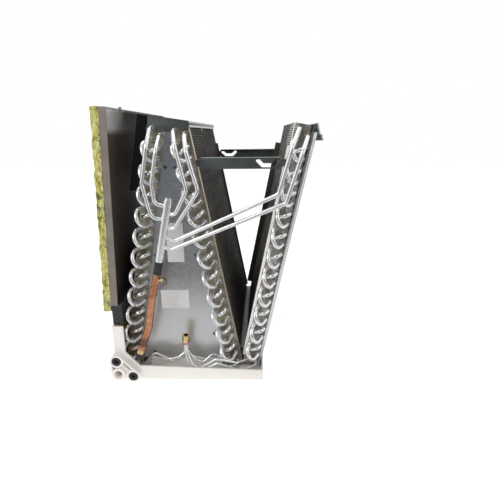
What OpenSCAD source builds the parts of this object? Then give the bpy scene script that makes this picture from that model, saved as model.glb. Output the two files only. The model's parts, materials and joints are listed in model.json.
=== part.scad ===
/* [Slabs] */
// Distance between the two tube rows of a slab
row_pitch = 22; // [20:0.5:24]
// Distance between neighbouring tubes of a row
tube_pitch = 25.4; // [25:0.1:26]
// Tubes in each row
tubes_per_row = 24; // [24:1:24]
// Outside diameter of the coil tubes
tube_od = 9.52; // [9:0.02:10]
// Wall of the coil tubes
tube_wall = 0.5; // [0.3:0.1:0.8]
// Depth of the slabs between the outer faces of their tube sheets
slab_depth = 470; // [440:5:490]
// Lean of the left slab
left_tilt = 9.85; // [9.5:0.05:10]
// Lean of the middle slab
middle_tilt = 10.86; // [10.8:0.02:11]
// Lean of the right slab
right_tilt = 11.48; // [11.4:0.02:11.6]
// Place of the middle slab's first tube
middle_x = 51.6; // [51:0.1:52]
// Place of the right slab's first tube
right_x = 330; // [329.9:0.1:333]
// Distance from a tube row to the edge of the tube sheet
edge_margin = 10.6; // [10.2:0.1:11]
// Thickness of the tube sheets
sheet_t = 1.2; // [1:0.1:1.5]
// Depth of the tube sheets' side flanges
sheet_flange = 11; // [8:0.5:14]
// Spacing of the grooves that stand for the fin gaps
fin_groove_pitch = 9; // [8:0.5:12]
// Width of those grooves
fin_groove_w = 3; // [2:0.5:4]
// Depth of those grooves
fin_groove_depth = 3.2; // [2:0.1:4]
// Clearance round every tube and screw
fit = 0.1; // [0.05:0.05:0.2]

/* [Return bends] */
// Reach of the tubes in front of the sheet, up to the ends of the bends
stub = 3; // [2:0.5:4]
// Distance from the sheet at which a bend begins
bend_start = 6; // [5:0.5:8]
// Lean of the long return bends out of the upright
bend_lean = 25.7; // [24:0.1:27]
// Straight leg of a long return bend
bend_leg = 18.2; // [17:0.1:20]

/* [Drain pan] */
// Width of the pan
pan_w = 370; // [368:1:380]
// Height of the front wall at its left end
pan_front_h = 38; // [36:0.5:42]
// Height of the front wall at its right end
pan_right_h = 27; // [25:0.5:32]
// Height of the upright leg and the left wall
pan_leg_h = 163; // [155:1:170]
// Width of the upright leg
pan_leg_w = 27; // [25:0.5:30]
// Thickness of the pan walls
pan_wall = 4; // [3:0.1:5]
// Thickness of the pan floor
pan_floor = 4.5; // [4:0.1:6]
// Reach of the pan in front of the slabs
pan_front = 60; // [58:1:66]
// Reach of the pan behind the slabs
pan_rear = 44; // [40:1:50]
// Outside diameter of the drain sockets
port_od = 33; // [32:0.5:34]
// Bore of the open drain
drain_bore = 20; // [18:0.5:22]
// Diameter of the drain plugs
plug_d = 24; // [22:0.5:25]

/* [Casing panel] */
// Lean of the casing panel
panel_tilt = 2.5; // [2.3:0.1:2.7]
// Height of the casing panel
panel_h = 459; // [450:1:462]
// Width of the panel's front flange
panel_flange = 15.5; // [14:0.5:18]
// Thickness of the sheet of the panel
panel_t = 1; // [0.8:0.1:1.5]
// Thickness of the insulation board
board_t = 20; // [18:0.5:22]
// Length by which the board hangs below the panel
board_drop = 18; // [10:1:25]

/* [Sheet metal] */
// Thickness of the plates and brackets
plate_t = 1; // [0.8:0.1:1.2]
// Lap of the plates over the tube sheets
lap = 3; // [2:0.5:4]
// Height of the cross brackets
bracket_h = 26; // [24:0.5:28]
// Width of the slots in the brackets
slot_w = 9; // [8:0.5:10]
// Diameter of the screw heads
screw_head_d = 8; // [7:0.5:9]
// Diameter of the screw shanks
screw_d = 4; // [3.5:0.1:4.5]

/* [Suction line] */
// Outside diameter of the header
header_od = 19; // [18:0.2:20]
// Outside diameter of the suction tube
suction_od = 17.5; // [17:0.1:18.5]
// Bend radius of the feeder tubes
feeder_r = 12; // [10:0.5:13]

/* [Distributor] */
// Outside diameter of the distributor tubes
capillary_od = 5; // [4:0.2:5.6]
// Width of the nut across its corners
nut_d = 21; // [20:0.5:22]
// Bore of the nut
nut_bore = 12; // [11:0.5:13]

/* [Hidden] */
$fn = 48;

// The coil is drawn with the left slab's first tube at zero, then moved to the middle of its base
shift_x = 123.5;
shift_y = 217;
foot_margin = 11.1;
foot = tube_pitch * (tubes_per_row - 0.5) + foot_margin;
head = 12.7;
rise = pan_floor + foot * cos(left_tilt) + (row_pitch + edge_margin) * sin(left_tilt);
floor_z = pan_floor - rise;
slab_w = row_pitch + 2 * edge_margin;
inner_d = slab_depth - 2 * sheet_t;
fin_edge = edge_margin - sheet_t;
hole_d = tube_od + 2 * fit;
pan_x = -119;
pan_end = pan_x + pan_w;
pan_y = -pan_front;
pan_back = slab_depth + pan_rear;
small = 0.02;

module place() { translate([-shift_x, -shift_y, rise]) children(); }

// Points, directions and tubes
function xyz(p) = [p[0], p[1], p[2]];
function unit(v) = v / norm(v);
function way(p, i) = unit(xyz(p[i + 1]) - xyz(p[i]));
function turn(p, i) = acos(max(-1, min(1, way(p, i - 1) * way(p, i))));
function trim(p, i) = i == 0 || i == len(p) - 1 ? 0 : p[i][3] * tan(turn(p, i) / 2);
function aside(d) = abs(d[1]) < 0.9 ? unit(cross(d, [0, 1, 0])) : unit(cross(d, [1, 0, 0]));

module axes(o, x, y, z) {
  multmatrix([[x[0], y[0], z[0], o[0]], [x[1], y[1], z[1], o[1]], [x[2], y[2], z[2], o[2]],
    [0, 0, 0, 1]]) children();
}
module toward(o, d) { x = aside(d); axes(o, x, cross(d, x), d) children(); }
module ring(od, wall) {
  difference() { circle(d = od); if (wall > 0) circle(d = od - 2 * wall); }
}
// Straights reach a little over the ends of the bends, whose walls lie just inside theirs
joint = 0.09;
step = 0.02;
module pipe(p, od, wall) {
  n = len(p) - 1;
  for (i = [0 : n - 1]) {
    d = way(p, i);
    t0 = i == 0 ? 0 : trim(p, i) - joint;
    t1 = i == n - 1 ? 0 : trim(p, i + 1) - joint;
    toward(xyz(p[i]) + d * t0, d)
      linear_extrude(norm(xyz(p[i + 1]) - xyz(p[i])) - t0 - t1) ring(od, wall);
  }
  if (n > 1) for (i = [1 : n - 1]) {
    a = way(p, i - 1);
    b = way(p, i);
    r = p[i][3];
    c = xyz(p[i]) + unit(b - a) * r / cos(turn(p, i) / 2);
    x = unit(xyz(p[i]) - a * trim(p, i) - c);
    e = joint / 3 / r * 180 / PI;
    axes(c, x, a, cross(x, a)) rotate([0, 0, e]) rotate_extrude(angle = turn(p, i) - 2 * e)
      translate([r, 0]) ring(od - 2 * step, wall > 0 ? wall - 2 * step : 0);
  }
}
// Bar, bored or not, from one point to another
module bar(a, b, od, wall = 0) { toward(a, unit(b - a)) linear_extrude(norm(b - a)) ring(od, wall); }

// Places in a slab: u across its two rows, v down it, y back through it
function slab_z(t) = floor_z + foot * cos(t) + (t > 0 ? row_pitch + edge_margin : edge_margin) * abs(sin(t));
function at(x, t, u, v, y) = [x + u * cos(t) - v * sin(t), y, slab_z(t) - u * sin(t) - v * cos(t)];
module slab(x, t) { translate([x, 0, slab_z(t)]) rotate([0, t, 0]) children(); }
function tube_v(row, i) = tube_pitch * (i + row / 2);
module tube_holes(d, deep) {
  for (row = [0, 1], i = [0 : tubes_per_row - 1])
    translate([row * row_pitch, -1, -tube_v(row, i)]) rotate([-90, 0, 0]) cylinder(d = d, h = deep);
}

// Block of fins, with grooves across both faces and a bore for each tube
grooves = floor((inner_d - fin_groove_pitch) / fin_groove_pitch);
groove_start = sheet_t + (inner_d - grooves * fin_groove_pitch + fin_groove_pitch - fin_groove_w) / 2;
function comb(x, out) = [for (i = [0 : grooves - 1])
  let (y = groove_start + i * fin_groove_pitch, b = x - out * fin_groove_depth)
  each [[x, y], [b, y], [b, y + fin_groove_w], [x, y + fin_groove_w]]];
function back_to_front(l) = [for (i = [len(l) - 1 : -1 : 0]) l[i]];
module fins() {
  near = sheet_t;
  far = slab_depth - sheet_t;
  right = row_pitch + fin_edge;
  difference() {
    translate([0, 0, -foot]) linear_extrude(foot + head)
      polygon(concat([[-fin_edge, near]], comb(-fin_edge, -1), [[-fin_edge, far], [right, far]],
        back_to_front(comb(right, 1)), [[right, near]]));
    tube_holes(hole_d, slab_depth + 2);
  }
}

// Tube sheet: web with a hole for each tube and a flange down both sides
module sheet_web() {
  difference() {
    translate([-edge_margin, 0, -foot]) cube([slab_w, sheet_t, foot + head]);
    tube_holes(hole_d, 2 + sheet_t);
  }
}
module sheet_sides(y) {
  for (x = [-edge_margin, row_pitch + fin_edge])
    translate([x, y, -foot]) cube([sheet_t, sheet_flange - sheet_t, foot + head]);
}
module front_sheet() { color([0.62, 0.57, 0.47]) { sheet_web(); sheet_sides(sheet_t); } }
module side_lip(x, w, y, lip_top, lip_end) { translate([x, y, -lip_end]) cube([w, sheet_t, lip_end - lip_top]); }
module rear_sheet() {
  color([0.62, 0.57, 0.47]) {
    translate([0, slab_depth - sheet_t, 0]) sheet_web();
    sheet_sides(slab_depth - sheet_flange);
  }
}

// Hairpins join neighbouring tubes of a row behind the slab
half = tube_pitch / 2;
module hairpins() {
  color([0.80, 0.81, 0.82]) for (row = [0, 1], k = [0 : tubes_per_row / 2 - 1]) {
    y = slab_depth + bend_start + half;
    translate([row * row_pitch, 0, -tube_v(row, 2 * k)]) pipe([[0, -stub, 0, 0], [0, y, 0, half],
      [0, y, -tube_pitch, half], [0, -stub, -tube_pitch, 0]], tube_od, tube_wall);
  }
}
// Short return bends join the rows to the upper right, long ones lean out and join to the lower right
chord = unit([row_pitch, 1.5 * tube_pitch]);
lean_u = -chord[1] * sin(bend_lean);
lean_v = chord[0] * sin(bend_lean);
module long_bends() {
  reach = bend_leg + row_pitch;
  lean_r = 12;
  s = [lean_u * reach, -cos(bend_lean) * reach, -lean_v * reach];
  p = [0, -bend_start, 0];
  q = [row_pitch, -bend_start, -1.5 * tube_pitch];
  rc = norm(q - p) / 2;
  color([0.80, 0.81, 0.82]) for (k = [0 : tubes_per_row / 2 - 2])
    translate([0, 0, -tube_v(0, 2 * k + 1)]) pipe([[0, -stub, 0, 0], concat(p, lean_r), concat(p + s, rc),
      concat(q + s, rc), concat(q, lean_r), [q[0], -stub, q[2], 0]], tube_od, tube_wall);
}
module short_bends() {
  rc = norm([row_pitch, half]) / 2;
  y = -bend_start - rc;
  color([0.80, 0.81, 0.82]) for (k = [0 : tubes_per_row / 2 - 2])
    translate([0, 0, -tube_v(0, 2 * k + 2)]) pipe([[0, -stub, 0, 0], [0, y, 0, rc],
      [row_pitch, y, half, rc], [row_pitch, -stub, half, 0]], tube_od, tube_wall);
}

module left_slab() { slab(0, left_tilt) children(); }
module middle_slab() { slab(middle_x, -middle_tilt) children(); }
module right_slab() { slab(right_x, right_tilt) children(); }
fin_color = [0.30, 0.31, 0.32];
module left_fins() { color(fin_color) left_slab() fins(); }
module middle_fins() { color(fin_color) middle_slab() fins(); }
module right_fins() { color(fin_color) right_slab() fins(); }
module left_hairpins() { left_slab() hairpins(); }
module middle_hairpins() { middle_slab() hairpins(); }
module right_hairpins() { right_slab() hairpins(); }
module left_long_bends() { left_slab() long_bends(); }
module middle_long_bends() { middle_slab() long_bends(); }
module right_long_bends() { right_slab() long_bends(); }
module left_short_bends() { left_slab() short_bends(); }
module middle_short_bends() { middle_slab() short_bends(); }
module right_short_bends() { right_slab() short_bends(); }
module left_front_sheet() { left_slab() front_sheet(); }
module left_rear_sheet() { left_slab() rear_sheet(); }
lip_start = 45;
lip_stop = 555;
middle_lip = 6;
right_lip = 16;
front_lip = 6;
front_lip_top = 40;
front_lip_end = 585;
tab_top = 71.5;
tab_end = 87;
module middle_front_sheet() {
  difference() {
    middle_slab() {
      front_sheet();
      side_lip(row_pitch + edge_margin, middle_lip, 0, tab_top, tab_end);
    }
    screw_hole(bracket_screws[0], 0);
  }
}
module right_front_sheet() {
  difference() {
    right_slab() {
      front_sheet();
      side_lip(-edge_margin - front_lip, front_lip, 0, front_lip_top, front_lip_end);
    }
    screw_hole(bracket_screws[1], 0);
  }
}
module middle_rear_sheet() {
  difference() {
    middle_slab() {
      rear_sheet();
      side_lip(row_pitch + edge_margin, middle_lip, slab_depth - sheet_t, lip_start, lip_stop + sheet_flange);
    }
    screw_hole(bracket_screws[0], slab_depth);
  }
}
module right_rear_sheet() {
  difference() {
    right_slab() {
      rear_sheet();
      side_lip(-edge_margin - right_lip, right_lip, slab_depth - sheet_t, lip_start, lip_stop);
    }
    screw_hole(bracket_screws[1], slab_depth);
  }
}

// Drain pan
port_1 = [-110, 60 - rise];
port_2 = [-108, 24.5 - rise];
port_3 = [-71, 20 - rise];
port_face = -80;
port_back = -50;
web_face = -72;
hole_x0 = -45;
hole_x1 = 138;
hole_wall_h = 29;
rim_z = pan_front_h - rise;
chamfer = [[-92, rim_z + 38], [-58, rim_z]];
leg_z = pan_leg_h - rise - 17;
module upright(y, t) { translate([0, y + t, 0]) rotate([90, 0, 0]) linear_extrude(t) children(); }
module pan_front_shape(top) {
  polygon([[pan_x, -rise], [pan_end, -rise], [pan_end, pan_right_h - rise], chamfer[1],
    chamfer[0], [pan_x + pan_leg_w, top], [pan_x, top]]);
}
module pan_walls() {
  difference() {
    translate([pan_x, pan_y, -rise]) cube([pan_w, pan_back - pan_y, pan_right_h]);
    translate([pan_x + pan_wall, pan_y + pan_wall, floor_z])
      cube([pan_w - 2 * pan_wall, pan_back - pan_y - 2 * pan_wall, pan_leg_h]);
  }
  translate([pan_x, pan_y, -rise]) cube([pan_wall, pan_back - pan_y, leg_z + rise]);
  upright(pan_y, pan_wall) pan_front_shape(leg_z);
}
module pan_hole(grow, low, h) {
  translate([hole_x0 - grow, -grow + pan_wall, low])
    cube([hole_x1 - hole_x0 + 2 * grow, slab_depth - 2 * pan_wall + 2 * grow, h]);
}
socket_gap = 5.5;
module port_block() {
  for (p = [port_1, port_2, port_3]) upright(port_face, port_back - port_face) translate(p) circle(d = port_od);
  upright(web_face, pan_y - web_face + pan_wall) polygon([port_1, port_2, port_3]);
  d = unit(port_3 - port_1);
  n = [-d[1], d[0]];
  o = port_od / 2;
  upright(port_face, pan_y - port_face + pan_wall)
    polygon([port_1 + n * o, port_3 + n * o, port_3 + n * (o - pan_wall), port_1 + n * (o - pan_wall)]);
  upright(port_face, pan_y - port_face + pan_wall)
    polygon([[port_1[0] - o, port_1[1]], [port_1[0] - o + pan_wall, port_1[1]],
      [port_2[0] - o + pan_wall, port_2[1]], [port_2[0] - o, port_2[1]]]);
}
plug_deep = 22;
module drain_pan() {
  color([0.93, 0.91, 0.86]) difference() {
    union() {
      pan_walls();
      pan_hole(pan_wall, -rise, hole_wall_h);
      difference() {
        port_block();
        translate([-2 * shift_x, port_face - 1, -rise - shift_x]) cube([4 * shift_x, shift_x, shift_x]);
      }
    }
    pan_hole(0, -rise - 1, hole_wall_h + 2);
    upright(port_face - 1, port_back - port_face + 2) translate(port_2) circle(d = drain_bore);
    for (p = [port_1, port_3]) upright(port_face - 1, plug_deep + 1) translate(p) circle(d = plug_d + 2 * fit);
  }
}
module drain_plugs() {
  recess = 10;
  color([0.08, 0.08, 0.08]) for (p = [port_1, port_3]) difference() {
    upright(port_face + 1, plug_deep - 1) translate(p) circle(d = plug_d);
    upright(port_face, recess / 2 + 1) translate(p) square(recess, center = true);
  }
}
liner_t = 0.8;
module pan_liner() {
  y = port_back + 1;
  color([0.45, 0.33, 0.16]) translate([pan_x + pan_wall, y, pan_right_h - rise])
    cube([liner_t, pan_back - pan_wall - 2 - y, leg_z - pan_right_h + rise - 1]);
}

// Casing panel, leaning out at its foot, with a board glued to its outside
panel_top = [-98.5, 46.5];
panel_y = -50;
panel_d = 530;
module leaning() { translate([panel_top[0], 0, panel_top[1]]) rotate([0, panel_tilt, 0]) children(); }
module side_panel() {
  color([0.40, 0.36, 0.32]) difference() {
    leaning() {
      translate([0, panel_y, -panel_h]) cube([panel_t, panel_d, panel_h]);
      translate([0, panel_y, -panel_h]) cube([panel_flange, 2 * panel_t, panel_h]);
      translate([0, panel_y + panel_d - panel_t, -panel_h]) cube([panel_flange, panel_t, panel_h]);
      translate([0, panel_y, -panel_t]) cube([panel_flange, panel_d, panel_t]);
    }
    translate(top_screw) cylinder(d = screw_d + 2 * fit, h = 8, center = true);
  }
}
module side_insulation() {
  color([0.78, 0.75, 0.35]) leaning()
    translate([-board_t - small, panel_y, -panel_h - board_drop])
      cube([board_t, panel_d, panel_h + board_drop]);
}
foam_z = panel_top[1] - panel_h * cos(panel_tilt);
module foam_strip() {
  x = panel_top[0] - panel_h * sin(panel_tilt);
  z = foam_z - panel_flange * sin(panel_tilt);
  left = pan_x + 0.7;
  right = pan_x + pan_leg_w - 2;
  color([0.22, 0.22, 0.23]) upright(panel_y, panel_d) polygon([[left, leg_z], [right, leg_z], [right, z + 4],
    [x + panel_flange + 3, z + 4], [x + panel_flange + 1, z - small], [x + 1, z - small], [left, z - small]]);
}

// Plates that close the triangle between the left and middle slabs
function edge_x(x, t, u, z) = x + (u * cos(t) - (slab_z(t) - u * sin(t) - z) * tan(t));
plate_top = -6.5;
plate_end = 27 - rise;
left_edge = row_pitch + edge_margin - lap;
function left_side(z) = edge_x(0, left_tilt, left_edge, z);
function middle_side(z) = edge_x(middle_x, -middle_tilt, lap - edge_margin, z);
plate_screws = [[24, -85], [48, -86], [-13, -298], [86, -298], [-34, -566], [125, -511]];
module screw_hole(p, y) {
  translate([p[0], y - 4, p[1]]) rotate([-90, 0, 0]) cylinder(d = screw_d + 2 * fit, h = 8);
}
module closing_plate(y, holes) {
  difference() {
    upright(y, plate_t) polygon([[left_side(plate_top), plate_top], [middle_side(plate_top), plate_top],
      [middle_side(plate_end), plate_end], [left_side(plate_end), plate_end]]);
    if (holes) for (p = plate_screws) screw_hole(p, y);
  }
}
module front_plate() { color([0.60, 0.62, 0.64]) closing_plate(-plate_t, true); }
module rear_plate() { color([0.60, 0.62, 0.64]) closing_plate(slab_depth, false); }

// Cap over the left and middle slabs, with scallops round their first tubes
cap_left = [-8, 29.6];
cap_right = [83, 16];
cap_lap_z = plate_top + 0.3;
scallop_d = 17;
cap_back = 104;
cap_slope = atan2(cap_left[1] - cap_right[1], cap_right[0] - cap_left[0]);
module top_cap() {
  l = norm(cap_left - cap_right);
  reach = l + (cap_left[0] - panel_top[0] - 1) / cos(cap_slope) - 2;
  color([0.30, 0.34, 0.38]) {
    difference() {
      upright(-plate_t, plate_t) polygon([cap_left + [0, plate_t / 2], cap_right + [0, plate_t / 2], [82, -2], [60, cap_lap_z], [-14, cap_lap_z],
        [-14, 2], [-10, 10]]);
      for (q = [at(0, left_tilt, 0, 0, 0), at(middle_x, -middle_tilt, 0, 0, 0), at(0, left_tilt, row_pitch, half, 0),
        at(middle_x, -middle_tilt, row_pitch, half, 0)])
        upright(-2, 3) translate([q[0], q[2]]) circle(d = scallop_d);
    }
    translate([cap_right[0], 0, cap_right[1]]) rotate([0, cap_slope, 0]) linear_extrude(plate_t)
      polygon([[0, -plate_t], [-l, -plate_t], [4 - reach, cap_back], [4 - reach, slab_depth], [0, slab_depth]]);
  }
}
// Black baffle to the left of the left slab
module baffle() {
  a = [-32, 32.4];
  b = [-64, -139];
  e = 1;
  color([0.07, 0.07, 0.08]) {
    upright(0, plate_t) polygon([a, [edge_x(0, left_tilt, -edge_margin - e, a[1] - 10) - 1, a[1] - 5],
      [edge_x(0, left_tilt, -edge_margin - e, b[1]), b[1]], b]);
    upright(plate_t, slab_depth - plate_t) polygon([a, a + [plate_t, 0], b + [plate_t, 0], b]);
  }
}
rail_x = 84.4;
module top_rail() {
  t = 1.5;
  h = 13.5;
  w = 9;
  color([0.85, 0.85, 0.84]) {
    translate([rail_x, 0, 3]) cube([t, slab_depth, h]);
    translate([rail_x, 0, 3]) cube([t + 2, slab_depth, t]);
    translate([rail_x - w, 2, cap_right[1] - t - small]) cube([w, slab_depth - 2, t]);
    translate([rail_x, slab_depth * 0.4, 3 - w]) cube([t, w / 2, w]);
  }
}
// Outline of a bent sheet that follows the points p, with its thickness on their left
function left_of(p, i) = let (d = unit(p[i + 1] - p[i])) [-d[1], d[0]];
function mitre(p, i) = let (a = left_of(p, max(0, i - 1)), b = left_of(p, min(len(p) - 2, i))) (a + b) / (1 + a * b);
function bent(p, t) = concat(p, [for (i = [len(p) - 1 : -1 : 0]) p[i] + mitre(p, i) * t]);
module hook_flashing() {
  foot_at = at(right_x, right_tilt, row_pitch, -head, 0);
  color([0.55, 0.57, 0.58]) upright(-10, slab_depth + 10)
    polygon(bent([[foot_at[0], foot_at[2]], [372.4, 9.6], [378.1, -14.2], [382.2, -16], [384.8, -27.4], [370, -27.4]], 1.2));
}
// Channel down the right face of the right slab, narrower at its foot
channel_top = 0;
channel_foot = 582;
channel_out = 10.5;
channel_in = 2.4;
module right_channel() {
  u = row_pitch + edge_margin;
  color([0.62, 0.64, 0.65]) right_slab() {
    upright(0, plate_t) polygon([[u, channel_top], [u + channel_out, channel_top], [u + channel_in, -channel_foot],
      [u, -channel_foot]]);
    translate([u, plate_t, -channel_foot]) cube([plate_t, 30, channel_foot]);
    upright(-3, 8) polygon([[u + channel_out - 1, channel_top], [u + channel_out, channel_top],
      [u + channel_in, -channel_foot], [u + channel_in - 1, -channel_foot]]);
  }
}
// Cross brackets between the middle and right slabs
module slot_shape(p) {
  for (i = [0 : len(p) - 2]) {
    d = unit(p[i + 1] - p[i]);
    n = [-d[1], d[0]] * slot_w / 2;
    polygon([p[i] + n, p[i + 1] + n, p[i + 1] - n, p[i] - n]);
  }
  for (q = p) translate(q) circle(d = slot_w);
}
bracket_z = -64;
bracket_x0 = 107;
bracket_x1 = 291;
tab = 5;
bracket_screws = [[101, -75], [302, -72]];
module bracket(y, slot, out) {
  z0 = bracket_z - bracket_h;
  flange = 8;
  l = [for (z = [bracket_z - tab, z0 + tab]) edge_x(middle_x, -middle_tilt, row_pitch + edge_margin - lap, z)];
  r = [for (z = [bracket_z - tab, z0 + tab]) edge_x(right_x, right_tilt, lap - edge_margin, z)];
  difference() {
    union() {
      upright(y, plate_t) polygon([[bracket_x0, bracket_z], [bracket_x1, bracket_z + 1], [bracket_x1, bracket_z - tab],
        [r[0], bracket_z - tab], [r[1], z0 + tab], [bracket_x1, z0 + tab], [bracket_x1, z0], [bracket_x0, z0],
        [bracket_x0, z0 + tab], [l[1], z0 + tab], [l[0], bracket_z - tab], [bracket_x0, bracket_z - tab]]);
      for (z = [bracket_z - plate_t, z0]) translate([bracket_x0 + tab, out > 0 ? y + plate_t : y - flange, z])
        cube([bracket_x1 - bracket_x0 - 3 * tab, flange, plate_t]);
    }
    upright(y - 1, plate_t + 2) slot_shape(slot);
    for (p = bracket_screws) screw_hole(p, y);
  }
}
module front_bracket() {
  color([0.24, 0.27, 0.30]) bracket(-plate_t, [[239, -71], [250, -82], [274, -82], [283, -71]], 1);
}
module rear_bracket() {
  color([0.24, 0.27, 0.30]) bracket(slab_depth, [[114, -72], [125, -82], [147, -82], [158, -72]], -1);
}
// Strip and foam in the valley between the middle and right slabs
valley_z = 47 - rise;
module valley_strip() {
  zs = [valley_z, valley_z + 4];
  color([0.70, 0.71, 0.72]) upright(sheet_flange + 1, slab_depth - 2 * sheet_flange - 2)
    polygon([[edge_x(middle_x, -middle_tilt, row_pitch + edge_margin, zs[0]), zs[0]],
      [edge_x(right_x, right_tilt, -edge_margin, zs[0]), zs[0]],
      [edge_x(right_x, right_tilt, -edge_margin, zs[1]), zs[1]],
      [edge_x(middle_x, -middle_tilt, row_pitch + edge_margin, zs[1]), zs[1]]]);
}
module valley_foam() {
  zs = [valley_z - 10, valley_z + 1];
  color([0.08, 0.08, 0.08]) upright(-2, 12)
    polygon([[edge_x(middle_x, -middle_tilt, row_pitch + edge_margin, zs[0]), zs[0]],
      [edge_x(right_x, right_tilt, -edge_margin - front_lip, zs[0]), zs[0]],
      [edge_x(right_x, right_tilt, -edge_margin - front_lip, zs[1]), zs[1]],
      [edge_x(middle_x, -middle_tilt, row_pitch + edge_margin, zs[1]), zs[1]]]);
}

// Suction header, its feeders and the suction tube
header_top = [39.3, -52, -148.5];
header_end = [7.3, -52, -298];
copper_start = [0.2, -52, -331];
coupling_mid = [-15, -52, -387.1];
copper_bend = [-28.8, -53, -466];
swage = [-46, -60, -512];
tail = unit([-0.342, -0.131, -0.931]);
ring_start = swage + tail * 13.2;
ring_end = swage + tail * 23;
cap_end = swage + tail * 38;
header_wall = 1.2;
module suction_header() {
  d = unit(header_end - header_top);
  color([0.82, 0.83, 0.84]) {
    bar(header_top + d * 8, header_end, header_od, header_wall);
    bar(header_top + d * 4, header_top + d * 8.5, header_od);
    bar(header_top, header_top + d * 4.5, header_od - 4);
  }
}
module feeder(p) {
  color([0.82, 0.83, 0.84]) difference() {
    pipe(p, tube_od, tube_wall);
    bar(header_top, header_end, header_od + 2 * fit);
  }
}
feeder_y = -54;
function start(x, t, row) = let (a = at(x, t, row * row_pitch, tube_v(row, 0), 0))
  [[a[0], -stub, a[2], 0], [a[0], -24, a[2], feeder_r]];
module feeder_1() {
  feeder(concat(start(0, left_tilt, 0), [[-2, feeder_y, -35.7, 20], [-18.3, feeder_y, -117.6, 26],
    [-1.3, feeder_y, -196.1, 20], [26, -52, -196, 0]]));
}
module feeder_2() {
  feeder(concat(start(0, left_tilt, 1), [[18, feeder_y, -44.2, 20], [3.7, feeder_y, -116.1, 26],
    [6.9, feeder_y, -161, 16], [31, -52, -168, 0]]));
}
module feeder_3() {
  feeder(concat(start(middle_x, -middle_tilt, 0), [[58.8, feeder_y, -34, 20], [80.6, feeder_y, -130.8, 18],
    [51, feeder_y, -188.2, feeder_r], [30.5, -52, -182.1, 0]]));
}
module feeder_4() {
  feeder(concat(start(middle_x, -middle_tilt, 1), [[82.5, feeder_y, -44.6, 20], [106.7, feeder_y, -134, 18],
    [46.8, feeder_y, -220.4, feeder_r], [24.5, -52, -212.5, 0]]));
}
module feeder_5() {
  feeder(concat(start(right_x, right_tilt, 0), [[314.1, feeder_y, -37.9, 20], [284, feeder_y, -142, 16],
    [48.6, feeder_y, -247.1, feeder_r], [20, -52, -236, 0]]));
}
module feeder_6() {
  feeder(concat(start(right_x, right_tilt, 1), [[335.7, feeder_y, -50.5, 20], [301.5, feeder_y, -161.5, 16],
    [39.2, feeder_y, -268.2, feeder_r], [14.5, -52, -260, 0]]));
}
sleeve_wall = 1;
module shrink_sleeve() {
  d = unit(copper_start - header_end);
  color([0.05, 0.05, 0.05])
    bar(header_end + d * fit, copper_start - d * 1.5, suction_od + 2 * sleeve_wall, sleeve_wall - fit);
}
copper = [0.72, 0.42, 0.26];
module suction_tube() {
  color(copper) {
    pipe([concat(header_end + unit(copper_start - header_end) * fit, 0), concat(copper_start, 40),
      concat(coupling_mid, 60), concat(copper_bend, 30), concat(swage, 0)], suction_od, 1);
    bar(swage - tail, ring_start, suction_od + 3, 2.6);
  }
}
module suction_coupling() {
  d = unit(coupling_mid - copper_start);
  color(copper) bar(coupling_mid - d * 24, coupling_mid - d * 6, suction_od + 2.4, 1.2 - fit);
}
module suction_ring() { color([0.80, 0.68, 0.42]) bar(ring_start, ring_end, suction_od, 2); }
module suction_cap() {
  color([0.06, 0.06, 0.06]) {
    bar(ring_end, cap_end, suction_od - 0.5);
    bar(ring_end - tail * 8, ring_end + tail, suction_od - 4 - 2 * fit);
  }
}
port_root = [-2, -52, -346];
port_at = [9, -60, -342];
port_way = unit(port_at - port_root);
module service_port() {
  color([0.78, 0.70, 0.45]) difference() {
    union() {
      bar(port_root, port_at, 6.4);
      bar(port_at, port_at + port_way * 5, 8.4);
    }
    bar(copper_start, coupling_mid, suction_od + 2 * fit);
  }
}
module port_strap() {
  color([0.06, 0.06, 0.06]) {
    pipe([[5.9, -57.6, -338.6, 0], [14, -56, -336.5, 4], [23, -56, -342, 5], [22, -56, -352, 4], [14, -56, -355, 0]],
      1.8, 0);
  }
}

// Distributor with its nut and six thin tubes
dist_top = [58.5, -40, 114 - rise];
dist_way = unit([-0.05, 0.135, -1]);
dist_nut_end = dist_top + dist_way * 18.5;
dist_ring_end = dist_top + dist_way * 24;
dist_body_end = dist_top + dist_way * 43;
nut_neck = 9;
module distributor_nut() {
  color([0.80, 0.66, 0.30]) toward(dist_top, dist_way) {
    translate([0, 0, nut_neck]) linear_extrude(norm(dist_nut_end - dist_top) - nut_neck) difference() {
      circle(d = nut_d, $fn = 6);
      circle(d = nut_bore);
    }
    linear_extrude(nut_neck) difference() { circle(d = nut_d - 2.5); circle(d = nut_bore); }
  }
}
module distributor_ring() {
  color([0.75, 0.15, 0.50]) bar(dist_nut_end, dist_ring_end, nut_bore + 5, 3 - fit);
}
fan_r = 5.7;
function nozzle(f) = dist_body_end + fan_r * [cos(190 + 60 * f), sin(190 + 60 * f), 0];
module distributor_body() {
  color([0.78, 0.78, 0.76]) difference() {
    union() {
      bar(dist_nut_end, dist_ring_end + dist_way, nut_bore - 1);
      bar(dist_ring_end, dist_body_end, nut_bore + 6.4);
    }
    bar(dist_nut_end - dist_way, dist_ring_end + dist_way * 8, nut_bore - 4);
    for (f = [0 : 5]) bar(nozzle(f) + [0, 0, 6], nozzle(f) - [0, 0, 2], capillary_od + 2 * fit);
  }
}
function tip(x, t, row) = let (a = at(x, t, row * row_pitch, tube_v(row, tubes_per_row - 1), 0))
  [[a[0], -17, a[2], 5], [a[0], -stub - 1, a[2], 0]];
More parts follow.
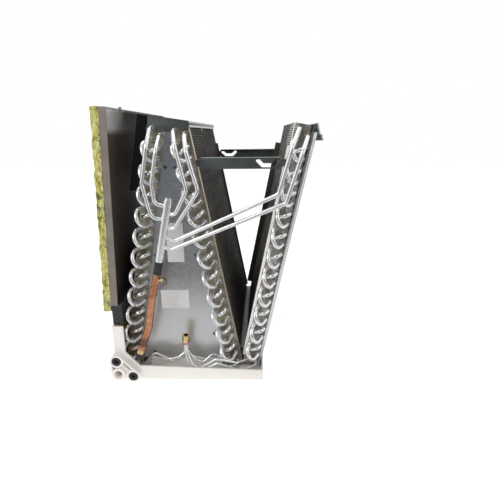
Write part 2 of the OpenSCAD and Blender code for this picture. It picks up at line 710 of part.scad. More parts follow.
// Each thin tube's corners are given with their heights above the underside of the pan
module capillary(f, path, end) {
  a = nozzle(f);
  p = concat([[a[0], a[1], a[2] + 5, 0], [a[0], a[1], a[2] - 9, 8]],
    [for (q = path) [q[0], q[1], q[2] - rise, q[3]]], end);
  e = p[len(p) - 1];
  pipe(p, capillary_od, 0.8);
  bar([e[0], -stub - 5, e[2]], [e[0], -stub, e[2]], tube_od, (tube_od - capillary_od + 0.3) / 2);
}
module distributor_tubes() {
  color([0.80, 0.81, 0.82]) {
    capillary(0, [[38, -40, 53, 9], [12, -36, 43, 12], [-26, -32, 60, 12], [-55, -28, 26, 10]],
      tip(0, left_tilt, 1));
    capillary(5, [[42, -28, 43, 9], [14, -24, 31, 12], [-34, -23, 41, 12], [-62, -26, 11.5, 9],
      [-96, -26, 11.5, 9]], tip(0, left_tilt, 0));
    capillary(2, [[73, -50, 37, 8], [89, -51, 25, 9], [132, -51, 53, 16], [186, -51, 43, 12]],
      tip(right_x, right_tilt, 0));
    capillary(1, [[65, -51, 27, 8], [86, -51, 14, 9], [136, -51, 42, 14], [192, -50, 19, 12]],
      tip(right_x, right_tilt, 1));
    capillary(3, [[79, -38, 44, 8], [97, -36, 34, 9], [122, -28, 55, 12], [144, -24, 43, 8]],
      tip(middle_x, -middle_tilt, 0));
    capillary(4, [[68, -26, 47, 7], [98, -20, 35, 10], [128, -16, 24, 10], [164, -22, 12, 9]],
      tip(middle_x, -middle_tilt, 1));
  }
}
module tube_clip() {
  color([0.78, 0.78, 0.78]) pipe([[66, -1.9, -543, 0], [66, -1.9, -521, 3], [72.5, -1.9, -521, 3], [72.5, -1.9, -543, 0]], 1.8, 0);
}
module labels() {
  t = 0.2;
  color([0.92, 0.92, 0.90]) {
    upright(-plate_t - t, t) translate([16, -316]) square([41, 99]);
    upright(-plate_t - t, t) translate([-8, -440]) square([71, 50]);
  }
}
top_screw = [-90, 62, 47.4];
module screw(p, y) {
  translate([p[0], y, p[1]]) rotate([-90, 0, 0]) cylinder(d = screw_d, h = 7);
  translate([p[0], y - 2.4, p[1]]) rotate([-90, 0, 0]) cylinder(d = screw_head_d, h = 2.4);
}
module screws() {
  color([0.12, 0.12, 0.13]) {
    for (p = plate_screws) screw(p, -plate_t);
    for (p = bracket_screws) screw(p, -plate_t);
    for (p = bracket_screws) translate([0, 2 * slab_depth + 2 * plate_t, 0]) mirror([0, 1, 0])
      translate([0, slab_depth + plate_t, 0]) screw(p, 0);
    translate(top_screw + [0, 0, -5]) cylinder(d = screw_d, h = 5);
    translate(top_screw) cylinder(d = screw_head_d, h = 3);
  }
}

place() drain_pan();
place() pan_liner();
place() drain_plugs();
place() side_panel();
place() side_insulation();
place() foam_strip();
place() left_fins();
place() middle_fins();
place() right_fins();
place() left_hairpins();
place() middle_hairpins();
place() right_hairpins();
place() left_long_bends();
place() middle_long_bends();
place() right_long_bends();
place() left_short_bends();
place() middle_short_bends();
place() right_short_bends();
place() left_front_sheet();
place() middle_front_sheet();
place() right_front_sheet();
place() left_rear_sheet();
place() middle_rear_sheet();
place() right_rear_sheet();
place() front_plate();
place() rear_plate();
place() top_cap();
place() baffle();
place() top_rail();
place() hook_flashing();
place() right_channel();
place() front_bracket();
place() rear_bracket();
place() valley_strip();
place() valley_foam();
place() suction_header();
place() feeder_1();
place() feeder_2();
place() feeder_3();
place() feeder_4();
place() feeder_5();
place() feeder_6();
place() shrink_sleeve();
place() suction_tube();
place() suction_coupling();
place() service_port();
place() port_strap();
place() suction_ring();
place() suction_cap();
place() distributor_body();
place() distributor_nut();
place() distributor_ring();
place() distributor_tubes();
place() tube_clip();
place() labels();
place() screws();
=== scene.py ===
import json
import math
import bpy
from mathutils import Matrix, Vector


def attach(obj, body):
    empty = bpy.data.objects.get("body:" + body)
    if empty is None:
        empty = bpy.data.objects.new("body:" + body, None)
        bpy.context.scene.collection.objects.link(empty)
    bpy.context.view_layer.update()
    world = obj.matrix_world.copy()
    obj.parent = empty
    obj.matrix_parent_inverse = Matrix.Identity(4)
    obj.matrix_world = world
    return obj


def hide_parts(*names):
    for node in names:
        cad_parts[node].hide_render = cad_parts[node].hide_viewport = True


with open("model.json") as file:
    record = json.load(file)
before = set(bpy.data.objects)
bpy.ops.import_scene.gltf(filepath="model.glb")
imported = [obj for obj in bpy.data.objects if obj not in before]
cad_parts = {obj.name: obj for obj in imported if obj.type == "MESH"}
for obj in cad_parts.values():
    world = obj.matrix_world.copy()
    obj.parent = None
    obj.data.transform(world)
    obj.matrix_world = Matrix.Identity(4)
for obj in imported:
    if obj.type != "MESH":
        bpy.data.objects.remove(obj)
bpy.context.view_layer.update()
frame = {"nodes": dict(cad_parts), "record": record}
nodes = frame["nodes"]

# Sizes of the coil in millimetres, as in the CAD source
MM = 0.001
ROW_PITCH, TUBE_PITCH, TUBES = 22.0, 25.4, 24
SLAB_DEPTH, SHEET, EDGE = 470.0, 1.2, 10.6
FOOT_MARGIN, HEAD, PAN_FLOOR = 11.1, 12.7, 4.5
FOOT = TUBE_PITCH * (TUBES - 0.5) + FOOT_MARGIN
# Where each slab's first tube is, and its lean in degrees
SLABS = {"left": (0.0, 9.85), "middle": (51.6, -10.86), "right": (330.0, 11.48)}
# The coil's drawing frame has its zero at the left slab's first tube, this high above the floor
LEFT_TILT = math.radians(SLABS["left"][1])
RISE = PAN_FLOOR + FOOT * math.cos(LEFT_TILT) + (ROW_PITCH + EDGE) * math.sin(LEFT_TILT)
SHIFT = Vector((-123.5, -217.0, RISE)) * MM
# Pitches of the fine patterns in metres: fin ripple highlights, rib shading and rung glints, teeth on a
# sheet's margin
RIPPLE, RIB, TOOTH = 0.00635, 0.0042, 0.0254


def place(x, y, z):
    """A point of the drawing frame, in metres of the row frame."""
    return Vector((x, y, z)) * MM + SHIFT


def slab_z(tilt):
    """Height of a slab's first tube when its lower corner stands on the pan's floor."""
    t = math.radians(tilt)
    corner = ROW_PITCH + EDGE if tilt > 0 else EDGE
    return PAN_FLOOR - RISE + FOOT * math.cos(t) + corner * abs(math.sin(t))


def slab_matrix(name):
    """Takes a point (u, y, -v) of a slab, in metres, to the row frame."""
    x, tilt = SLABS[name]
    return Matrix.Translation(place(x, 0, slab_z(tilt))) @ Matrix.Rotation(math.radians(tilt), 4, "Y")


def slab_axes(name):
    """The slab's own directions, across it and up along it."""
    tilt = math.radians(SLABS[name][1])
    return Vector((math.cos(tilt), 0, -math.sin(tilt))), Vector((math.sin(tilt), 0, math.cos(tilt)))


def span(node, direction):
    """How far a CAD piece reaches along a direction."""
    reach = [v.co.dot(Vector(direction)) for v in nodes[node].data.vertices]
    return min(reach), max(reach)


# Small modelling helpers
def nothing_selected():
    if bpy.context.object and bpy.context.object.mode != "OBJECT":
        bpy.ops.object.mode_set(mode="OBJECT")
    bpy.ops.object.select_all(action="DESELECT")


def only(piece):
    nothing_selected()
    piece.select_set(True)
    bpy.context.view_layer.objects.active = piece


def settle(piece):
    """Puts a piece's place into its mesh."""
    only(piece)
    bpy.ops.object.transform_apply(location=True, rotation=True, scale=True)


def block(name, low, high):
    """A box between two corners, in metres."""
    nothing_selected()
    low, high = Vector(low), Vector(high)
    bpy.ops.mesh.primitive_cube_add(size=1, location=(low + high) / 2)
    piece = bpy.context.object
    piece.name = piece.data.name = name
    piece.scale = high - low
    settle(piece)
    return piece


def apply_all(piece):
    only(piece)
    for modifier in list(piece.modifiers):
        bpy.ops.object.modifier_apply(modifier=modifier.name)


def row_of(piece, count, step):
    """Repeats a piece, each time a step further."""
    modifier = piece.modifiers.new("row", "ARRAY")
    modifier.count = count
    modifier.use_relative_offset = False
    modifier.use_constant_offset = True
    modifier.constant_offset_displace = step
    apply_all(piece)


def move_to_slab(piece, slab):
    piece.matrix_world = slab_matrix(slab)
    settle(piece)


def joined(name, pieces):
    only(pieces[0])
    for piece in pieces:
        piece.select_set(True)
    if len(pieces) > 1:
        bpy.ops.object.join()
    pieces[0].name = pieces[0].data.name = name
    return pieces[0]


def merged_copy(node, name):
    """A copy of a CAD node with its triangles joined up, ready for modifiers."""
    nothing_selected()
    piece = nodes[node].copy()
    piece.data = nodes[node].data.copy()
    piece.name = piece.data.name = name
    for key in list(piece.keys()):
        del piece[key]
    bpy.context.scene.collection.objects.link(piece)
    piece.parent = None
    piece.matrix_world = Matrix.Identity(4)
    only(piece)
    bpy.ops.object.mode_set(mode="EDIT")
    bpy.ops.mesh.select_all(action="SELECT")
    bpy.ops.mesh.remove_doubles(threshold=0.00002)
    bpy.ops.mesh.dissolve_limited(angle_limit=math.radians(1.0))
    bpy.ops.object.mode_set(mode="OBJECT")
    return piece


def smooth(piece, angle=35):
    only(piece)
    bpy.ops.object.shade_smooth_by_angle(angle=math.radians(angle))


def finished(piece, material, slot, *replaced):
    piece.data.materials.clear()
    piece.data.materials.append(material)
    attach(piece, "root")
    if replaced:
        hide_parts(*replaced)
    return piece


# Materials: one wrapper for sockets, one method for nodes
class Wire:
    """A value in a shader, which takes plain arithmetic."""

    def __init__(self, finish, socket):
        self.finish, self.socket = finish, socket

    def _maths(self, operation, *values):
        return self.finish.node("ShaderNodeMath", operation=operation, inputs=dict(enumerate(values)))

    def __add__(self, other):
        return self._maths("ADD", self, other)

    __radd__ = __add__

    def __sub__(self, other):
        return self._maths("SUBTRACT", self, other)

    def __rsub__(self, other):
        return self._maths("SUBTRACT", other, self)

    def __mul__(self, other):
        return self._maths("MULTIPLY", self, other)

    __rmul__ = __mul__

    def __lt__(self, other):
        return self._maths("LESS_THAN", self, other)


class Finish:
    """A material: its Principled surface, and the nodes that vary it."""

    def __init__(self, name, **constants):
        self.material = bpy.data.materials.new(name)
        self.material.use_nodes = True
        self.tree = self.material.node_tree
        self.surface = self.tree.nodes["Principled BSDF"]
        self.set(**constants)

    def node(self, kind, output=0, stops=None, inputs=None, **settings):
        made = self.tree.nodes.new(kind)
        for key, value in settings.items():
            setattr(made, key, value)
        if stops:
            ramp = made.color_ramp
            while len(ramp.elements) < len(stops):
                ramp.elements.new(0.5)
            for element, (place_on_ramp, colour) in zip(ramp.elements, stops):
                element.position, element.color = place_on_ramp, (*colour, 1)
        for key, value in (inputs or {}).items():
            self.feed(made.inputs[key], value)
        return Wire(self, made.outputs[output])

    def feed(self, socket, value):
        if isinstance(value, Wire):
            self.tree.links.new(value.socket, socket)
        else:
            socket.default_value = (*value, 1) if socket.type == "RGBA" and len(value) == 3 else value

    def set(self, **values):
        for key, value in values.items():
            self.feed(self.surface.inputs[key.replace("_", " ")], value)

    def where(self):
        return self.node("ShaderNodeTexCoord", output="Object")

    def axis(self, letter):
        return self.node("ShaderNodeSeparateXYZ", output=letter, inputs={0: self.where()})

    def noise(self, scale, detail=3.0, roughness=0.55, stretch=(1, 1, 1), distortion=0.0):
        at = self.node("ShaderNodeVectorMath", operation="MULTIPLY", inputs={0: self.where(), 1: stretch})
        return self.node("ShaderNodeTexNoise", inputs={
            "Vector": at, "Scale": scale, "Detail": detail, "Roughness": roughness, "Distortion": distortion})

    def cells(self, scale):
        return self.node("ShaderNodeTexVoronoi", output="Color",
                         inputs={"Vector": self.where(), "Scale": scale})

    def between(self, value, low, high, to_low=0.0, to_high=1.0):
        """Maps a value from one range to another, and stops at its ends."""
        return self.node("ShaderNodeMapRange", inputs={
            "Value": value, "From Min": low, "From Max": high, "To Min": to_low, "To Max": to_high})

    def mix(self, factor, first, second):
        return self.node("ShaderNodeMix", output=2, data_type="RGBA", inputs={0: factor, 6: first, 7: second})

    def ramp(self, value, *stops):
        return self.node("ShaderNodeValToRGB", stops=stops, inputs={0: value})

    def bump(self, height, distance, strength=1.0):
        return self.node("ShaderNodeBump", inputs={
            "Height": height, "Distance": distance, "Strength": strength})

    def along(self, direction):
        """Distance from the frame's zero along a direction, in metres."""
        return self.node("ShaderNodeVectorMath", operation="DOT_PRODUCT", output=1,
                         inputs={0: self.where(), 1: direction})

    def grain(self, scale, detail, low, high):
        """A fine noise, spread between two values."""
        return self.between(self.noise(scale, detail), 0.3, 0.7, low, high)

    def wave(self, distance, pitch, drift=0.0):
        """Rises and falls once in each pitch of the distance."""
        phase = distance * (2 * math.pi / pitch) + drift
        return self.node("ShaderNodeMath", operation="SINE", inputs={0: phase})

    def ray(self, kind):
        return self.node("ShaderNodeLightPath", output=kind)

    def band(self, value, low, high, soft):
        """One between two limits, with soft ends."""
        return self.between(value, low - soft, low) * (1 - self.between(value, high, high + soft))


def grey(value):
    return (value, value, value)


def scaled(colour, by):
    return tuple(min(1.0, c * by) for c in colour)


def bright_tube():
    f = Finish("drawn_aluminium", Metallic=0.86)
    cloud = f.noise(90, 4)
    f.set(Base_Color=f.mix(f.between(cloud, 0.35, 0.7), (0.95, 0.955, 0.96), (0.78, 0.79, 0.81)),
          Roughness=f.grain(260, 3, 0.13, 0.24),
          Normal=f.bump(f.noise(70, 2), 0.0002, 0.08))
    return f.material


def fin_edges_with_painted_light(slab):
    """Plate edges, with lighter lines painted along the slab as the highlights of their ripples."""
    f = Finish(slab + "_fin_edges", Metallic=0.4)
    upward = slab_axes(slab)[1]
    drift = f.noise(5, 2, 0.5, (1, 0.6, 1))
    ripple = f.wave(f.along(upward), RIPPLE, drift * 4.0)
    patchy = f.between(f.noise(26, 4, 0.65, (1, 0.22, 1)), 0.36, 0.62, 0.12, 1.0)
    # Lines along the ripples, mixed lighter below: painted highlights.
    ripple_highlight = f.between(ripple, 0.25, 0.95) * patchy
    base = f.between(f.noise(40, 3, 0.6, (1, 2, 1)), 0.3, 0.7)
    base = f.mix(base, (0.054, 0.051, 0.045), (0.086, 0.081, 0.071))
    near = 1 - f.between(f.axis("Y"), -0.20, -0.05)
    tone = f.mix(ripple_highlight, base, (0.25, 0.24, 0.21))
    if slab == "right":
        # Lighter towards the top, lighter and browner towards the front, and white rungs of painted glints at
        # the top corner
        height = f.along(upward) - slab_matrix(slab).translation.dot(upward)
        upper = f.between(height, -0.16, -0.13)
        rung_glints = f.between(f.wave(height, RIB), -0.2, 0.3)
        tone = f.mix(upper * 0.5, tone, (0.30, 0.29, 0.27))
        tone = f.mix(near * (1 - upper) * 0.85, tone, (0.27, 0.235, 0.195))
        # White rungs at the top corner: painted glints.
        tone = f.mix(f.between(height, -0.045, -0.040) * (1 - f.between(f.axis("Y"), -0.08, -0.03)),
                     tone, f.mix(rung_glints, (0.05, 0.05, 0.045), (0.98, 0.96, 0.92)))
    else:
        tone = f.mix(near * 0.3, tone, (0.22, 0.19, 0.155))
    f.set(Base_Color=tone, Roughness=f.grain(60, 3, 0.40, 0.6))
    return f.material


# Near-black for the depths between the fin plates: painted shade.
def painted_fin_shade():
    return Finish("fin_depths_painted_shade", Base_Color=(0.015, 0.015, 0.015), Roughness=0.85).material


def painted_rib_shade(f, slab):
    """Fine slanting rib stripes on an edge of a slab: painted shade of the ribbing."""
    across, along = slab_axes(slab)
    return f.between(f.wave(f.along(along) + f.along(across), RIB), 0.5, 1.0)


def tube_sheet(slab):
    """Stained sheet behind the bends, with painted highlights along its edge lines and, on the right slab,
    painted shadow in its margin: u runs across the slab and v down it, from the first tube.
    """
    f = Finish(slab + "_sheet_metal", Metallic=0.7)
    across, along = slab_axes(slab)
    corner = slab_matrix(slab).translation
    u, v = f.along(across) - corner.dot(across), corner.dot(along) - f.along(along)
    cloud = f.noise(22, 5, 0.65)
    streak = f.noise(55, 4, 0.6, (1.0, 1.0, 0.25))
    grain = f.noise(300, 3)
    tone = f.ramp(f.between(cloud * 0.6 + streak * 0.4, 0.36, 0.64),
                  (0.0, (0.115, 0.095, 0.065)), (0.5, (0.23, 0.20, 0.145)), (1.0, (0.42, 0.38, 0.29)))
    if slab == "right":
        silver = f.ramp(f.between(streak * 0.5 + cloud * 0.5, 0.36, 0.64),
                        (0.0, (0.07, 0.06, 0.05)), (0.5, (0.30, 0.28, 0.25)), (1.0, (0.80, 0.78, 0.74)))
        tone = f.mix(0.65, tone, silver)
        # Right margin: near-black painted shadow, with lighter teeth at each tube pitch.
        teeth = f.between(f.wave(v, TOOTH), -0.2, 0.9)
        margin = f.mix(teeth * 0.4, (0.018, 0.018, 0.016), (0.30, 0.30, 0.26))
        tone = f.mix(f.between(u, 0.0262, 0.0272), tone, margin)
        folded = f.between(u + v * 0.0066, 0.0322, 0.0330)
        tone = f.mix(folded, tone, f.mix(painted_rib_shade(f, slab) * 0.35, (0.90, 0.91, 0.91), (0.40, 0.41, 0.42)))
        # Cream strip along the left lip: painted highlight.
        lip = 1 - f.between(u, -0.0098, -0.0088)
        tone = f.mix(lip, tone, (1.0, 0.95, 0.88))
        f.set(Metallic=0.7 * (1 - lip))
    else:
        # Light tan line along the right edge: painted highlight.
        tone = f.mix(f.between(u, 0.0312, 0.0318), tone, (0.66, 0.58, 0.44))
    f.set(Base_Color=f.mix(grain * 0.12, tone, (0.50, 0.46, 0.38)),
          Roughness=f.between(grain, 0.3, 0.7, 0.24, 0.40), Normal=f.bump(f.noise(90, 3), 0.0006, 0.3))
    return f.material


def galvanised():
    f = Finish("galvanised_plate", Metallic=0.85)
    flake = f.node("ShaderNodeSeparateColor", output=0, inputs={0: f.cells(170)})
    # Light at the bottom and darker above: painted reflection.
    tone = f.ramp(f.between(f.axis("Z"), 0.02, 0.60),
                  (0.0, (0.64, 0.64, 0.63)), (0.24, (0.54, 0.545, 0.555)), (0.42, (0.25, 0.255, 0.26)),
                  (0.60, (0.30, 0.31, 0.32)), (0.80, (0.34, 0.36, 0.39)), (1.0, (0.19, 0.21, 0.24)))
    mottle = f.between(f.noise(120, 5, 0.7), 0.35, 0.65)
    f.set(Base_Color=f.mix(flake * 0.10 + mottle * 0.10, tone, (0.86, 0.87, 0.88)),
          Roughness=f.between(flake, 0.0, 1.0, 0.30, 0.36), Normal=f.bump(f.noise(9, 1), 0.002, 0.1))
    return f.material


def dark_sheet(name, top):
    """Slate paint, with the light that its upper edge catches."""
    f = Finish(name, Metallic=0.35)
    tone = f.mix(f.between(f.noise(14, 4), 0.3, 0.7), (0.058, 0.066, 0.068), (0.094, 0.105, 0.106))
    tone = f.mix(f.between(f.axis("Z"), top - 0.0022, top - 0.0012), tone, (0.42, 0.45, 0.45))
    f.set(Base_Color=tone, Roughness=f.grain(180, 3, 0.28, 0.42))
    return f.material


def bright_sheet(name, colour, metallic=0.6):
    f = Finish(name, Metallic=metallic)
    f.set(Base_Color=f.mix(f.grain(40, 4, 0.0, 1.0), colour, scaled(colour, 0.8)),
          Roughness=f.grain(200, 3, 0.30, 0.46))
    return f.material


def rolled_rail():
    """White rail with a shaded bead under its upper edge."""
    f = Finish("rolled_rail", Metallic=0.2, Roughness=0.4)
    top = span("top_rail", (0, 0, 1))[1]
    shade = f.band(f.axis("Z"), top - 0.0085, top - 0.0035, 0.0008)
    tone = f.mix(shade, (0.74, 0.74, 0.74), (0.085, 0.095, 0.095))
    f.set(Base_Color=f.mix(f.between(f.axis("Y"), 0.222, 0.228) * 0.8, tone, (0.06, 0.065, 0.065)))
    return f.material


def ribbed_channel():
    """Edge channel: a web painted darker inwards as shade, and a white ribbed lip along its tapering outer
    edge.
    """
    f = Finish("edge_channel", Metallic=0.25, Roughness=0.35)
    across, along = slab_axes("right")
    high, (foot, head) = span("right_channel", across)[1], span("right_channel", along)
    taper = 0.0081
    inward = high - taper + f.between(f.along(along), foot, head, 0.0, taper) - f.along(across)
    # Darker grades inwards from the white lip: painted shade.
    tone = f.ramp(f.between(inward, 0.0, 0.0105), (0.50, (0.92, 0.93, 0.93)), (0.58, (0.24, 0.26, 0.26)),
                  (0.80, (0.15, 0.16, 0.16)), (1.0, (0.05, 0.055, 0.055)))
    lip = 1 - f.between(inward, 0.0045, 0.0055)
    f.set(Base_Color=f.mix(lip * painted_rib_shade(f, "right") * 0.35, tone, (0.40, 0.41, 0.42)))
    return f.material


def pan_plastic():
    f = Finish("pan_plastic", Specular_IOR_Level=0.45)
    cloud = f.noise(9, 4)
    grain = f.noise(500, 2)
    f.set(Base_Color=f.mix(f.between(cloud, 0.35, 0.7), (0.885, 0.85, 0.81), (0.835, 0.795, 0.75)),
          Roughness=f.between(grain, 0.3, 0.7, 0.36, 0.5), Normal=f.bump(grain, 0.0002, 0.3))
    return f.material


def casing():
    """Brown flange in front, and a glossy inner face painted darker to the rear as shade, under a painted
    band of light along its top edge.
    """
    f = Finish("casing_sheet", Coat_Roughness=0.10)
    height, depth = f.axis("Z"), f.axis("Y")
    front = depth < (SHIFT.y - 0.0479)
    cloud = f.noise(6, 4)
    # Darker to the rear: painted shade.
    inner = f.mix(f.between(depth, -0.14, 0.06), (0.115, 0.082, 0.058), (0.010, 0.009, 0.008))
    inner = f.mix(f.between(cloud, 0.3, 0.7) * 0.15, inner, (0.09, 0.07, 0.055))
    # Pale band along the top: painted light.
    inner = f.mix(f.between(height, 0.596, 0.612) * 0.9, inner, (0.80, 0.78, 0.75))
    flange = f.mix(f.between(f.noise(30, 4), 0.3, 0.7), (0.17, 0.142, 0.122), (0.225, 0.19, 0.165))
    f.set(Base_Color=f.mix(front, inner, flange), Coat_Weight=(1 - front) * 0.5,
          Roughness=f.grain(200, 2, 0.34, 0.46))
    return f.material


def insulation():
    f = Finish("fibre_board", Roughness=0.92, Specular_IOR_Level=0.15)
    strands = f.noise(130, 6, 0.72, (1.0, 1.0, 0.45), 1.2)
    blots = f.noise(34, 4, 0.6, (1.0, 1.0, 0.7), 0.8)
    flecks = f.noise(75, 4, 0.7, (1.0, 1.0, 0.6), 0.5)
    shade = f.between(strands, 0.3, 0.7)
    tone = f.ramp(shade, (0.0, (0.17, 0.15, 0.035)), (0.28, (0.38, 0.35, 0.07)), (0.55, (0.56, 0.53, 0.17)),
                  (0.8, (0.72, 0.70, 0.38)), (1.0, (0.86, 0.86, 0.68)))
    cool = f.ramp(shade, (0.0, (0.10, 0.16, 0.14)), (0.5, (0.42, 0.50, 0.36)), (1.0, (0.74, 0.78, 0.64)))
    aged = f.mix(f.between(blots, 0.52, 0.66, 0.0, 0.6), tone, cool)
    f.set(Base_Color=f.mix(f.between(flecks, 0.53, 0.62, 0.0, 0.8), aged, (0.075, 0.075, 0.045)),
          Normal=f.bump(strands, 0.004, 0.8))
    return f.material


def foam():
    f = Finish("grey_foam", Roughness=0.95, Specular_IOR_Level=0.1)
    pores = f.noise(240, 5, 0.75)
    f.set(Base_Color=f.ramp(f.between(pores, 0.3, 0.7), (0.0, (0.012, 0.012, 0.014)),
                            (0.6, (0.06, 0.06, 0.065)), (1.0, (0.17, 0.17, 0.18))),
          Normal=f.bump(pores, 0.003, 0.9))
    return f.material


def copper():
    """Copper with darker patches, and a burnt band at the joint near its foot."""
    f = Finish("suction_copper", Metallic=1.0)
    cloud = f.noise(60, 4)
    braze = f.band(f.axis("Z"), 0.100, 0.112, 0.010)
    tone = f.mix(f.between(cloud, 0.35, 0.7), (0.66, 0.31, 0.18), (0.40, 0.17, 0.09))
    tone = f.mix(f.between(f.noise(26, 3), 0.48, 0.64) * 0.85, tone, (0.20, 0.085, 0.05))
    f.set(Base_Color=f.mix(braze * 0.8, tone, (0.13, 0.075, 0.05)),
          Roughness=f.between(cloud, 0.3, 0.7, 0.10, 0.24), Normal=f.bump(f.noise(60, 3), 0.0004, 0.25))
    return f.material


def metal(name, colour, roughness):
    f = Finish(name, Metallic=1.0)
    f.set(Base_Color=f.mix(f.between(f.noise(120, 3), 0.35, 0.7), colour, scaled(colour, 0.75)),
          Roughness=f.grain(300, 2, roughness * 0.8, roughness * 1.2))
    return f.material


def plain(name, colour, roughness, spread=0.2):
    f = Finish(name)
    f.set(Base_Color=f.mix(f.noise(70, 3), scaled(colour, 1 - spread), scaled(colour, 1 + spread)),
          Roughness=f.grain(200, 2, roughness * 0.85, min(1.0, roughness * 1.15)))
    return f.material


MATERIALS = {
    "fins": painted_fin_shade(),
    "coil_tubes": bright_tube(),
    # Rear sheets darker than the front ones: painted shade.
    "tube_sheets": plain("rear_sheets_darkened_as_shade", (0.075, 0.068, 0.055), 0.5),
    "galvanised_plate": galvanised(),
    "dark_sheet": dark_sheet("dark_coated_sheet", 1.0),
    "bright_sheet": bright_sheet("bright_sheet", (0.66, 0.67, 0.68)),
    "pan_plastic": pan_plastic(),
    # Golden liner lightened to stand in for light in its shaded place: painted light.
    "liner": plain("pan_liner", (0.70, 0.44, 0.15), 0.5, 0.4),
    "black_plastic": plain("black_plastic", (0.018, 0.018, 0.019), 0.42),
    "black_sheet": Finish("black_sheet", Base_Color=(0.006, 0.006, 0.007), Roughness=0.7,
                          Specular_IOR_Level=0.1).material,
    "foam": foam(),
    "casing_sheet": casing(),
    "insulation": insulation(),
    "copper": copper(),
    "brass": metal("turned_brass", (0.80, 0.64, 0.30), 0.28),
    "distributor_metal": metal("turned_steel", (0.80, 0.80, 0.78), 0.3),
    "marker_ring": plain("marker_ring", (0.62, 0.10, 0.38), 0.5),
    "label_stock": plain("label_stock", (0.64, 0.64, 0.63), 0.5, 0.1),
    "dark_screws": metal("dark_screws", (0.14, 0.14, 0.15), 0.45),
}
MATERIALS["alu_tubes"] = MATERIALS["coil_tubes"]

for entry in frame["record"]["subparts"]:
    node = nodes[entry["node"]]
    node.data.materials.clear()
    node.data.materials.append(MATERIALS[entry["material_slot"]])


# Fin packs: thin plates over a near-black core, painted shade for the depths between the plates
FIN_STEP, FIN_START, FIN_THICKNESS = 1.8, 0.6, 0.4
CORE_INSET, CORE_START, CORE_END = 2.2, 0.4, 1.0
fin_low, fin_high = -(EDGE - SHEET), ROW_PITCH + EDGE - SHEET
plates = int((SLAB_DEPTH - 2 * SHEET - FIN_START - FIN_THICKNESS) / FIN_STEP)
first = SHEET + FIN_START
for slab in SLABS:
    plate = block(slab + "_fin_plates", Vector((fin_low, first, -FOOT)) * MM,
                  Vector((fin_high, first + FIN_THICKNESS, HEAD)) * MM)
    row_of(plate, plates, (0, FIN_STEP * MM, 0))
    move_to_slab(plate, slab)
    finished(plate, fin_edges_with_painted_light(slab), "fins", slab + "_fins")
    core = block(slab + "_fin_core", Vector((fin_low + CORE_INSET, SHEET + CORE_START, CORE_END - FOOT)) * MM,
                 Vector((fin_high - CORE_INSET, SLAB_DEPTH - SHEET - CORE_START, HEAD - CORE_END)) * MM)
    move_to_slab(core, slab)
    finished(core, MATERIALS["fins"], "fins")


# Flared cups where the bends enter the coil tubes
def tapered_ring(name, radii, length, y):
    """An open cone along Y with a thin wall: its first radius faces the camera."""
    nothing_selected()
    bpy.ops.mesh.primitive_cone_add(
        vertices=32, radius1=radii[0] * MM, radius2=radii[1] * MM, depth=length * MM, end_fill_type="NOTHING",
        rotation=(math.radians(-90), 0, 0), location=(0, y * MM, 0))
    piece = bpy.context.object
    piece.name = piece.data.name = name
    settle(piece)
    wall = piece.modifiers.new("wall", "SOLIDIFY")
    wall.thickness, wall.offset = CUP_WALL * MM, -1
    apply_all(piece)
    return piece


# Radii at the front and back of each ring, its length, and where its middle is
CUP_WALL, LIP, COLLAR = 0.5, ((6.35, 5.3), 3.2, -6.6), ((5.3, 5.45), 5.0, -2.6)
for slab in SLABS:
    rows = []
    for row in range(2):
        cup = joined("cup", [tapered_ring("lip", *LIP), tapered_ring("collar", *COLLAR)])
        only(cup)
        bpy.ops.transform.translate(value=(row * ROW_PITCH * MM, 0, -row * TUBE_PITCH / 2 * MM))
        settle(cup)
        row_of(cup, TUBES, (0, 0, -TUBE_PITCH * MM))
        rows.append(cup)
    cups = joined(slab + "_cups", rows)
    smooth(cups)
    move_to_slab(cups, slab)
    finished(cups, MATERIALS["coil_tubes"], "coil_tubes")


# CAD pieces with rounded edges
def softened(node, name, material, slot, width, angle=40):
    """Takes a CAD node's place, with its edges over an angle rounded to a width."""
    piece = merged_copy(node, name)
    rounding = piece.modifiers.new("rounding", "BEVEL")
    rounding.width, rounding.segments = width * MM, 2
    rounding.limit_method, rounding.angle_limit = "ANGLE", math.radians(angle)
    apply_all(piece)
    smooth(piece)
    return finished(piece, material, slot, node)


softened("drain_pan", "pan_moulding", MATERIALS["pan_plastic"], "pan_plastic", 1.2)
for slab in SLABS:
    softened(slab + "_front_sheet", slab + "_bent_sheet", tube_sheet(slab), "tube_sheets", 0.5, 60)

for node in ("front_bracket", "rear_bracket", "top_cap"):
    paint = dark_sheet(node + "_paint", span(node, (0, 0, 1))[1])
    softened(node, node + "_sheet", paint, "dark_sheet", 0.3, 60)
softened("top_rail", "top_rail_sheet", rolled_rail(), "bright_sheet", 0.5)
softened("right_channel", "right_channel_sheet", ribbed_channel(), "bright_sheet", 0.4)
strip = bright_sheet("strip_in_the_valley", (0.15, 0.165, 0.175), 0.3)
softened("valley_strip", "valley_strip_sheet", strip, "bright_sheet", 0.3)
# Near white, far lighter than the grey sheet, to stand in for light on its shaded underside: painted light.
hook = bright_sheet("hooked_sheet_painted_light", (0.86, 0.92, 0.92), 0.1)
softened("hook_flashing", "hook_flashing_sheet", hook, "bright_sheet", 0.4)

# Insulation board with a rough, fibrous surface
board = merged_copy("side_insulation", "insulation_board")
remesh = board.modifiers.new("grid", "REMESH")
remesh.mode, remesh.voxel_size = "VOXEL", 0.0035
apply_all(board)
clumps = bpy.data.textures.new("fibre_clumps", "CLOUDS")
clumps.noise_scale, clumps.noise_depth = 0.012, 4
ruffle = board.modifiers.new("ruffle", "DISPLACE")
ruffle.texture, ruffle.texture_coords = clumps, "LOCAL"
ruffle.strength, ruffle.mid_level = 0.006, 0.6
apply_all(board)
smooth(board, 60)
finished(board, MATERIALS["insulation"], "insulation", "side_insulation")

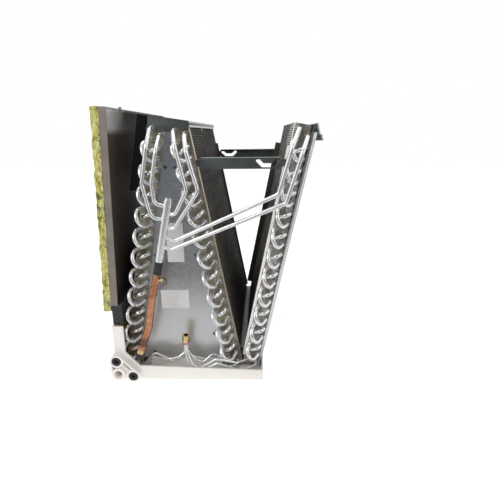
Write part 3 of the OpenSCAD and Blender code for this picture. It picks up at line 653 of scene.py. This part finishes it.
# Floor, light and camera
nothing_selected()
bpy.ops.mesh.primitive_plane_add(size=14, location=(0, 0, -0.0005))
floor = bpy.context.object
floor.name = "studio_floor"
# Shiny metal sees a pale floor behind and to the left, and a dark one in front
ground = Finish("studio_floor", Roughness=0.9, Specular_IOR_Level=0.0)
lit = ground.between(ground.along((-0.55, 1.0, 0.0)), -1.6, -0.15)
tone = 1 - ground.ray("Is Glossy Ray") * (1 - lit * 0.75) * 0.84
ground.set(Base_Color=ground.mix(tone, grey(0.0), grey(0.6)),
           Emission_Color=ground.mix(tone, grey(0.0), grey(0.78)), Emission_Strength=1.0)
floor.data.materials.append(ground.material)


class Sky(Finish):
    """The world: white to the camera, a studio with a darker front to shiny metal, plain light otherwise."""

    def __init__(self):
        world = bpy.data.worlds.new("studio")
        bpy.context.scene.world = world
        world.use_nodes = True
        self.tree = world.node_tree
        self.surface = self.tree.nodes["Background"]

    def where(self):
        return self.node("ShaderNodeTexCoord", output="Generated")


sky = Sky()
behind = sky.between(sky.along((0.0, 0.94, 0.34)), -0.55, 0.15, 0.16, 1.0)
window = sky.between(sky.along((-0.74, -0.50, 0.45)), 0.55, 0.86, 0.0, 1.0)
shiny = sky.node("ShaderNodeMath", operation="MAXIMUM", inputs={0: behind, 1: window})
seen, mirrored = sky.ray("Is Camera Ray"), sky.ray("Is Glossy Ray")
sky.set(Color=(1, 1, 1), Strength=seen + (1 - seen) * (mirrored * shiny + (1 - mirrored) * 0.5))


def softbox(name, at, aim, size, power):
    lamp = bpy.data.lights.new(name, "AREA")
    lamp.shape, lamp.size, lamp.size_y, lamp.energy = "RECTANGLE", size[0], size[1], power
    holder = bpy.data.objects.new(name, lamp)
    bpy.context.scene.collection.objects.link(holder)
    holder.location = at
    holder.rotation_euler = (Vector(aim) - Vector(at)).to_track_quat("-Z", "Y").to_euler()


softbox("key_softbox", (-1.3, -1.9, 1.7), (0, 0, 0.3), (0.8, 1.2), 13)
softbox("fill_softbox", (1.7, -1.5, 1.1), (0, 0, 0.3), (0.5, 1.4), 5)
softbox("top_softbox", (0.1, 0.2, 2.4), (0, 0, 0.3), (1.2, 1.2), 10)

RIGHT = Vector((0.99957, 0.02822, -0.00781))
UP = Vector((-0.00041, 0.28020, 0.95994))
FORWARD = Vector((-0.02928, 0.95953, -0.28009))
lens = bpy.data.cameras.new("camera")
lens.sensor_width, lens.lens = 36.0, 28.98
lens.clip_start, lens.clip_end = 0.05, 50.0
camera = bpy.data.objects.new("camera", lens)
bpy.context.scene.collection.objects.link(camera)
turn = Matrix((RIGHT, UP, -FORWARD)).transposed().to_4x4()
camera.matrix_world = Matrix.Translation(place(248.0, -943.7, -9.6)) @ turn
bpy.context.scene.camera = camera
bpy.context.scene.view_settings.view_transform = "Standard"
